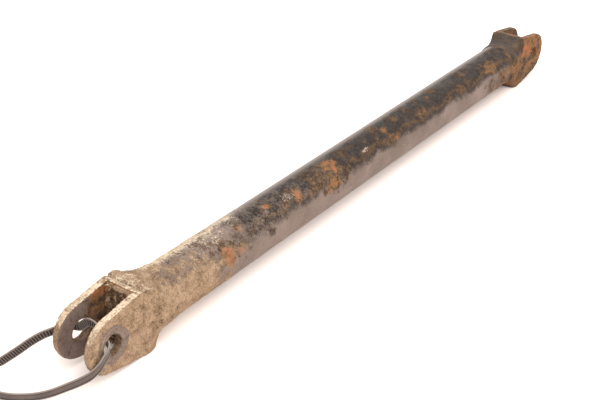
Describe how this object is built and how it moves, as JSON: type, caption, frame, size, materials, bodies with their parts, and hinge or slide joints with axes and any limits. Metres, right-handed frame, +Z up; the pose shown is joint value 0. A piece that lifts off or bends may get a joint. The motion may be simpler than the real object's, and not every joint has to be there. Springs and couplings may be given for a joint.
{
  "type": "aircraft tow bar strut",
  "caption": "Rusty round steel tube with a welded plate fork at each end, for cross pins, and a black nylon cable tie looped through one fork.",
  "frame": {"origin": "on the floor, below the middle of the tube's axis and of its length", "axes": "+X along the tube towards the far fork, +Y along the pin holes away from the camera side, +Z up"},
  "size_m": [0.9042, 0.1637, 0.066],
  "materials": {
    "painted_tube": "worn black paint with rust and dried mud",
    "rusty_plate": "rusty steel under dried tan mud",
    "weld_metal": "rough rusty weld bead",
    "tie_nylon": "black nylon, slightly glossy"
  },
  "bodies": {
    "root": {"tube": "painted_tube", "near_fork_back_plate": "rusty_plate", "near_fork_shoulder": "rusty_plate", "near_fork_ring_weld": "weld_metal", "near_fork_left_cheek": "rusty_plate", "near_fork_left_seam_weld": "weld_metal", "near_fork_left_throat_weld": "weld_metal", "near_fork_right_cheek": "rusty_plate", "near_fork_right_seam_weld": "weld_metal", "near_fork_right_throat_weld": "weld_metal", "far_fork_back_plate": "rusty_plate", "far_fork_shoulder": "rusty_plate", "far_fork_ring_weld": "weld_metal", "far_fork_left_cheek": "rusty_plate", "far_fork_left_seam_weld": "weld_metal", "far_fork_left_throat_weld": "weld_metal", "far_fork_right_cheek": "rusty_plate", "far_fork_right_seam_weld": "weld_metal", "far_fork_right_throat_weld": "weld_metal", "cable_tie_strap": "tie_nylon", "cable_tie_head": "tie_nylon"}
  },
  "joints": []
}
